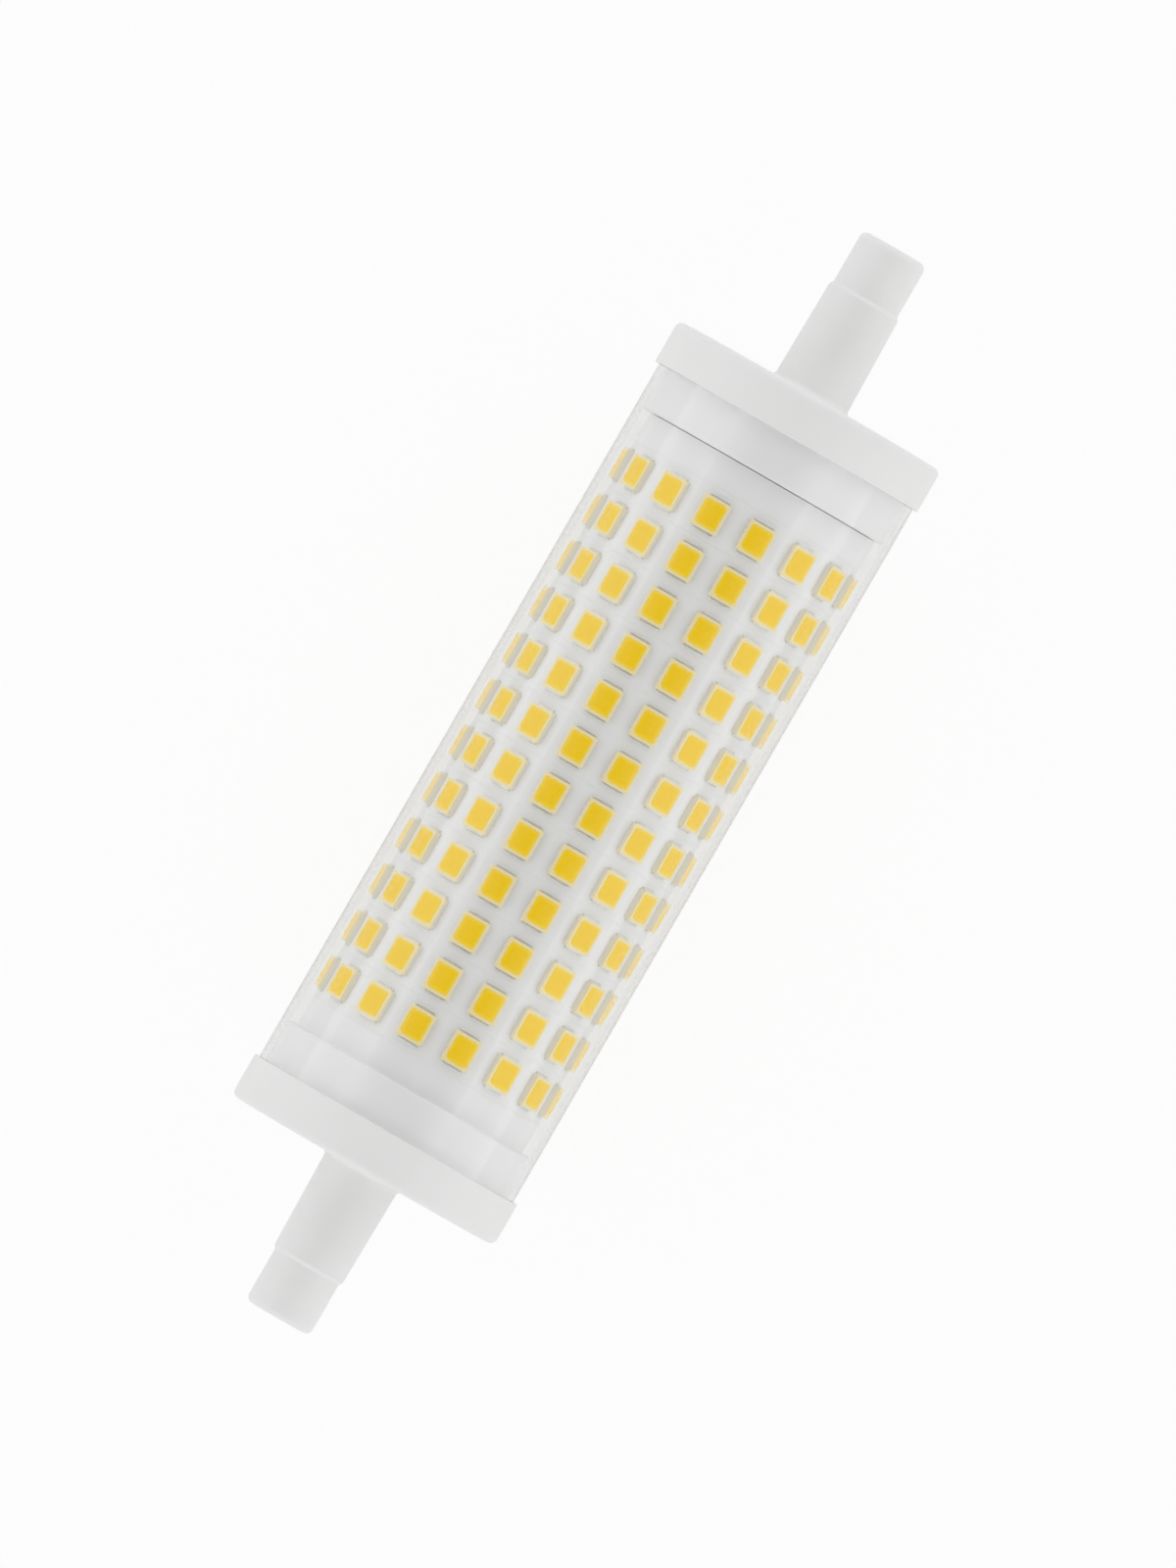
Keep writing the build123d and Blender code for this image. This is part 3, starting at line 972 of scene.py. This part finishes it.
def package_shape(leds):
    """Moulding of an LED package: a block with rounded edges and a shallow cup in its top."""
    length = leds.length - 2 * leds.tab_reach
    edge = leds.edge
    rings = [(0.0, 0.0)]
    rings.extend((inward * edge, leds.height - down * edge) for inward, down in PACKAGE_EDGE)
    loops = []
    for inset, height in rings:
        loops.append(rounded_outline(length - 2 * inset, leds.width - 2 * inset, height, [leds.corner] * 4))
    for inset, depth in ((-edge / 2, 0.0), (0.0, edge / 2), (edge, leds.cup_depth)):
        window = leds.window_length - 2 * inset, leds.window_width - 2 * inset
        loops.append(rounded_outline(*window, leds.height - depth, window_corners(leds)))
    return skin(loops)


def tab_shape(leds):
    """Two metal tabs that come out of a package's ends."""
    length = 2 * leds.tab_reach
    middle = (leds.length - length) / 2
    corners = [leds.tab_reach / 3] * 4
    loops = [
        rounded_outline(length, leds.tab_width, height, corners, middle) for height in (0.0, leds.tab_height)
    ]
    return both_ends(skin(loops))


def gel_shape(leds):
    """Gel in the cup, domed a little above the rim."""
    rings = [(GEL_FOOT_SIZE, -leds.cup_depth * GEL_FOOT_DEPTH), (1.0, -leds.edge / 2)]
    rings.extend((share, leds.dome * rise) for share, rise in GEL_DOME)
    loops = []
    for share, height in rings:
        window = leds.window_length * share, leds.window_width * share
        loops.append(rounded_outline(*window, leds.height + height, window_corners(leds, share)))
    return skin(loops)


def solder_shape(leds):
    """Pair of solder joints, which slope from the package's ends down to the board."""
    loops = []
    for reach, rise in SOLDER_SLOPE:
        length = leds.solder_inside + leds.solder_reach * reach
        width = leds.solder_width - leds.solder_reach * (1 - reach)
        middle = leds.length / 2 - leds.solder_inside + length / 2
        corners = [leds.solder_corner] * 4
        loops.append(rounded_outline(length, width, leds.solder_height * rise, corners, middle))
    return both_ends(skin(loops))


def pin_solder_shape(board):
    """Two domes of solder, each of which ties a square pin to a pad beside the slot."""
    middle = (pins_low.x + pins_high.x) / 2
    loops = []
    for share, height in PIN_SOLDER_DOME:
        length = board.pin_solder_length * share
        width = board.pin_solder_width * share
        loops.append(rounded_outline(length, width, height, [length * PIN_SOLDER_CORNER] * 4, middle))
    return joined([placed(skin(loops), side_matrix(side, board.face)) for side in LOWER_SIDES])


def led_group(name, shape, led_matrices, map_name, mapped):
    """Mesh of a group of LEDs, with a map of what a function makes of a point in the LED's own frame."""
    mesh = mesh_of(name, joined([placed(shape, place) for place in led_matrices]))
    layer = mesh.uv_layers.new(name=map_name)
    back = [place.inverted() for place in led_matrices]
    faces_each = len(shape[1])
    for face in mesh.polygons:
        to_led = back[face.index // faces_each]
        for corner in face.loop_indices:
            layer.data[corner].uv = mapped(to_led @ mesh.vertices[mesh.loops[corner].vertex_index].co)
    return mesh


# Operators

class LAMP_OT_cover_tube(bpy.types.Operator):
    """Make the clear cover tube, with rounded ends"""

    bl_idname = "lamp.cover_tube"
    bl_label = "Cover Tube"

    def execute(self, context):
        tube = context.scene.tube_sizes
        inside = tube.radius - tube.wall
        section = [
            (-tube.half_length, inside, tube.lip, round_ring),
            (-tube.half_length, tube.radius, tube.lip, round_ring),
            (tube.half_length, tube.radius, tube.lip, round_ring),
            (tube.half_length, inside, tube.lip, round_ring),
        ]
        mesh = mesh_of("cover_tube_clear", turned(section))
        material = clear_plastic(context.scene.lamp_colours.tube)
        piece = new_piece("cover_tube_clear", mesh, material)
        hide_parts("cover_tube")
        return {"FINISHED"}


class LAMP_OT_end_caps(bpy.types.Operator):
    """Make the two moulded end caps, with their posts, tips, spigots and plugs"""

    bl_idname = "lamp.end_caps"
    bl_label = "End Caps"

    def execute(self, context):
        scene = context.scene
        cap = scene.cap_sizes
        board = scene.board_sizes
        section = cap_section(scene.tube_sizes, cap, scene.contact_sizes, board)
        plug_end = min(point[0] for point in section)
        plug_outside, plug_inside = plug_reaches(cap, board)
        slot = box(
            (plug_end - cap.plug_wall, -cap.slot_width / 2, -plug_outside - 2 * cap.plug_wall),
            (plug_end + cap.plug_length, cap.slot_width / 2, -plug_outside + 2 * cap.plug_wall),
        )
        right = worked("cap", turned(section), [slot], cap_rails(cap, plug_end, plug_inside))
        mesh = mesh_of("end_caps_moulded", both_ends(shape_of_mesh(right)))
        material = moulded("cap_white", scene.lamp_colours.cap)
        piece = new_piece("end_caps_moulded", mesh, material)
        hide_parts("end_caps")
        return {"FINISHED"}


class LAMP_OT_contacts(bpy.types.Operator):
    """Make the two plated contacts sunk in the tips"""

    bl_idname = "lamp.contacts"
    bl_label = "Contacts"

    def execute(self, context):
        scene = context.scene
        mesh = mesh_of("contacts_plated", both_ends(contact_shape(scene.contact_sizes)))
        piece = new_piece("contacts_plated", mesh, turned_metal(scene.lamp_colours.nickel))
        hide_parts("contacts")
        return {"FINISHED"}


class LAMP_OT_led_board(bpy.types.Operator):
    """Make the LED board, one strip folded to sixteen sides, with its cut ends bare"""

    bl_idname = "lamp.led_board"
    bl_label = "LED Board"

    def execute(self, context):
        scene = context.scene
        board = scene.board_sizes
        colours = scene.lamp_colours
        gap = board.pin_clearance
        slot = box(
            (pins_low.x - gap, pins_low.y - gap, -board.face - board.bend),
            (pins_high.x + gap, pins_high.y + gap, -board.face + board.thickness + board.bend),
        )
        mesh = worked("led_board_folded", board_shape(board), [slot])
        map_sides(mesh)
        mask = solder_mask(colours.board, board, scene.led_sizes)
        piece = new_piece("led_board_folded", mesh, mask)
        core = moulded("cut_core", colours.board_core, roughness=0.6, grain=2500.0, depth=0.01 * MM)
        finish_some(mesh, core, lambda face: abs(face.normal.x) > END_FACING)
        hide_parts("led_board")
        return {"FINISHED"}


class LAMP_OT_led_packages(bpy.types.Operator):
    """Make the LED packages on all sides, each with a metal tab at both ends"""

    bl_idname = "lamp.led_packages"
    bl_label = "LED Packages"

    def execute(self, context):
        scene = context.scene
        leds = scene.led_sizes
        colours = scene.lamp_colours
        # The moulding carries painted shade on the package walls and painted light on the rim
        moulding = led_moulding(colours.package, colours.package_lit_rim)
        metal = plated_metal("led_tab", colours.led_tab, roughness=0.45)
        body = package_shape(leds)
        shape = joined([body, tab_shape(leds)])

        def rise(point):
            """Share of the package's height."""
            return point.z / leds.height, 0.0

        def on_tab(face):
            """Whether a face is on one of the tabs, which come after the body in each package."""
            return face.index % len(shape[1]) >= len(body[1])

        for pair in range(PAIRS):
            name = f"led_packages_moulded_{pair + 1}"
            mesh = led_group(name, shape, led_places(pair, leds, scene.board_sizes), "rise", rise)
            piece = new_piece(name, mesh, moulding)
            finish_some(mesh, metal, on_tab)
            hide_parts(f"led_packages_side_{pair + 1}")
        return {"FINISHED"}


class LAMP_OT_led_gel(bpy.types.Operator):
    """Fill the LED packages with yellow phosphor gel"""

    bl_idname = "lamp.led_gel"
    bl_label = "LED Gel"

    def execute(self, context):
        scene = context.scene
        leds = scene.led_sizes
        material = phosphor_gel(scene.lamp_colours.gel, scene.lamp_colours.gel_rim)
        shape = gel_shape(leds)

        def from_middle(point):
            """Place in the window, whose edges are at 1."""
            return point.x * 2 / leds.window_length, point.y * 2 / leds.window_width

        for pair in range(PAIRS):
            name = f"led_gel_domed_{pair + 1}"
            mesh = led_group(name, shape, led_places(pair, leds, scene.board_sizes), "window", from_middle)
            piece = new_piece(name, mesh, material)
            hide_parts(f"led_phosphor_side_{pair + 1}")
        return {"FINISHED"}


class LAMP_OT_solder(bpy.types.Operator):
    """Solder the LED packages and the two feed pins to the LED board"""

    bl_idname = "lamp.solder"
    bl_label = "Solder Joints"

    def execute(self, context):
        leds = context.scene.led_sizes
        board = context.scene.board_sizes
        material = plated_metal("bright_solder", context.scene.lamp_colours.solder, roughness=0.4)
        shape = solder_shape(leds)
        for pair in range(PAIRS):
            shapes = [placed(shape, place) for place in led_places(pair, leds, board)]
            if 2 * pair in LOWER_SIDES:
                shapes.append(pin_solder_shape(board))
            name = f"led_solder_{pair + 1}"
            new_piece(name, mesh_of(name, joined(shapes)), material)
        return {"FINISHED"}


class LAMP_OT_driver(bpy.types.Operator):
    """Give the hidden driver, its liner and its leads their finishes"""

    bl_idname = "lamp.driver"
    bl_label = "Driver Finishes"

    def execute(self, context):
        sizes = context.scene.driver_sizes
        colours = context.scene.driver_colours
        tin = context.scene.lamp_colours.solder
        ferrite = moulded(
            "sintered_ferrite", colours.ferrite, roughness=0.6, grain=1500.0, depth=0.01 * MM, mottle=0.2
        )
        finishes = {
            "mains_leads": moulded("lead_insulation", colours.lead, roughness=0.35),
            "insulating_liner": moulded("liner_film", colours.liner, roughness=0.3),
            "driver_board": circuit_board(colours.mask, colours.mask_pale, colours.track),
            "led_pins": plated_metal("tinned_pin", tin),
            "film_capacitor": moulded("film_lacquer", colours.film, roughness=0.25),
            "choke_core": ferrite,
            "choke_winding": wound_wire(colours.wire, colours.wire_gap_shade),
            "chip_resistors": moulded("resistor_body", colours.resistor, roughness=0.4),
        }
        metal_ended = {
            "chip_fuse": (colours.fuse, X_AXIS, sizes.fuse_body),
            "bridge_rectifier": (colours.chip, Y_AXIS, sizes.rectifier_body),
            "smoothing_capacitor": (colours.sleeve, X_AXIS, sizes.can_sleeve),
            "power_transistor": (colours.chip, X_AXIS, sizes.transistor_body),
            "driver_chip": (colours.chip, Y_AXIS, sizes.chip_body),
        }
        for node, (tint, axis, limit) in metal_ended.items():
            low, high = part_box(node)
            middle = (low[axis] + high[axis]) / 2
            finishes[node] = two_tone(node + "_body", tint, axis, limit, middle, tin)
        for node, material in finishes.items():
            mesh = frame["nodes"][node].data
            mesh.materials.clear()
            mesh.materials.append(material)
        return {"FINISHED"}


class LAMP_OT_stage(bpy.types.Operator):
    """Set up the floor, the light tent, the soft lamps and the camera"""

    bl_idname = "lamp.stage"
    bl_label = "Stage"

    def execute(self, context):
        scene = context.scene
        stage = scene.stage_settings
        self.make_floor(scene, stage)
        self.make_tent(scene, stage)
        self.make_soft_lamps(scene, stage)
        self.make_camera(scene, stage)
        scene.view_settings.view_transform = "Standard"
        return {"FINISHED"}

    def make_floor(self, scene, stage):
        """Pale paper under the lamp."""
        half = stage.floor_size / 2
        mesh = bpy.data.meshes.new("floor")
        corners = [(-half, -half, 0), (half, -half, 0), (half, half, 0), (-half, half, 0)]
        mesh.from_pydata(corners, [], [(0, 1, 2, 3)])
        mesh.materials.append(tent_floor(stage))
        floor = bpy.data.objects.new("floor", mesh)
        floor.location.z = cad_box[0].z
        scene.collection.objects.link(floor)

    def make_tent(self, scene, stage):
        """Light tent with bright walls and a dim top round the camera."""
        world = bpy.data.worlds.new("light_tent")
        world.use_nodes = True
        tree = world.node_tree
        height = parts_of(tree, add(tree, "TexCoord").outputs["Generated"])[2]
        walls = between(tree, height, stage.low_light, 1.0, start=0.0, end=stage.low_end)
        tent = between(
            tree, height, walls, stage.top_light, start=stage.top_start, end=1.0,
            interpolation_type="SMOOTHSTEP",
        )
        strength = math_of(tree, "MULTIPLY", tent, stage.side_light)
        fill(tree, tree.nodes["Background"], {"Color": WHITE, "Strength": strength})
        scene.world = world

    def make_soft_lamps(self, scene, stage):
        """Soft lamp beyond each end."""
        for name, sign in (("left_lamp", -1), ("right_lamp", 1)):
            light = bpy.data.lights.new(name, "AREA")
            light.energy = stage.soft_lamp_power
            light.size = stage.soft_lamp_size
            lamp = bpy.data.objects.new(name, light)
            lamp.location = (sign * stage.soft_lamp_reach, -stage.soft_lamp_side, stage.soft_lamp_height)
            lamp.rotation_euler = (-lamp.location).to_track_quat("-Z", "Y").to_euler()
            scene.collection.objects.link(lamp)

    def make_camera(self, scene, stage):
        """Camera straight above the lamp, far away."""
        lens = bpy.data.cameras.new("camera")
        lens.sensor_width = SENSOR
        lens.lens = SENSOR * stage.camera_distance / stage.view_height
        lens.clip_end = CLIP_REACH * stage.camera_distance
        camera = bpy.data.objects.new("camera", lens)
        camera.location = (0, -stage.view_shift, stage.camera_distance)
        camera.rotation_euler = (0, 0, stage.view_turn)
        scene.collection.objects.link(camera)
        scene.camera = camera


class LAMP_PT_panel(bpy.types.Panel):
    """Lists the pieces of the lamp and their sizes"""

    bl_idname = "LAMP_PT_panel"
    bl_label = "Linear LED Lamp"
    bl_space_type = "VIEW_3D"
    bl_region_type = "UI"
    bl_category = "LED Lamp"

    def draw(self, context):
        for operator in OPERATORS:
            self.layout.operator(operator.bl_idname)
        for name in SETTINGS:
            group = getattr(context.scene, name)
            column = self.layout.column(align=True)
            column.label(text=name.replace("_", " ").capitalize())
            for setting in group.__annotations__:
                column.prop(group, setting)


SETTINGS = {
    "tube_sizes": TubeSizes,
    "cap_sizes": CapSizes,
    "contact_sizes": ContactSizes,
    "board_sizes": BoardSizes,
    "led_sizes": LedSizes,
    "driver_sizes": DriverSizes,
    "lamp_colours": LampColours,
    "driver_colours": DriverColours,
    "stage_settings": StageSettings,
}
OPERATORS = (
    LAMP_OT_stage,
    LAMP_OT_cover_tube,
    LAMP_OT_end_caps,
    LAMP_OT_contacts,
    LAMP_OT_led_board,
    LAMP_OT_led_packages,
    LAMP_OT_led_gel,
    LAMP_OT_solder,
    LAMP_OT_driver,
)


def register():
    """Register the settings, the operators and the panel."""
    for name, group in SETTINGS.items():
        bpy.utils.register_class(group)
        setattr(bpy.types.Scene, name, PointerProperty(type=group))
    for operator in OPERATORS:
        bpy.utils.register_class(operator)
    bpy.utils.register_class(LAMP_PT_panel)


def unregister():
    """Take away all that register adds."""
    bpy.utils.unregister_class(LAMP_PT_panel)
    for operator in reversed(OPERATORS):
        bpy.utils.unregister_class(operator)
    for name, group in reversed(SETTINGS.items()):
        delattr(bpy.types.Scene, name)
        bpy.utils.unregister_class(group)


def main():
    """Build the stage and every piece."""
    register()
    bpy.ops.lamp.stage()
    bpy.ops.lamp.cover_tube()
    bpy.ops.lamp.end_caps()
    bpy.ops.lamp.contacts()
    bpy.ops.lamp.led_board()
    bpy.ops.lamp.led_packages()
    bpy.ops.lamp.led_gel()
    bpy.ops.lamp.solder()
    bpy.ops.lamp.driver()


if __name__ == "__main__":
    main()
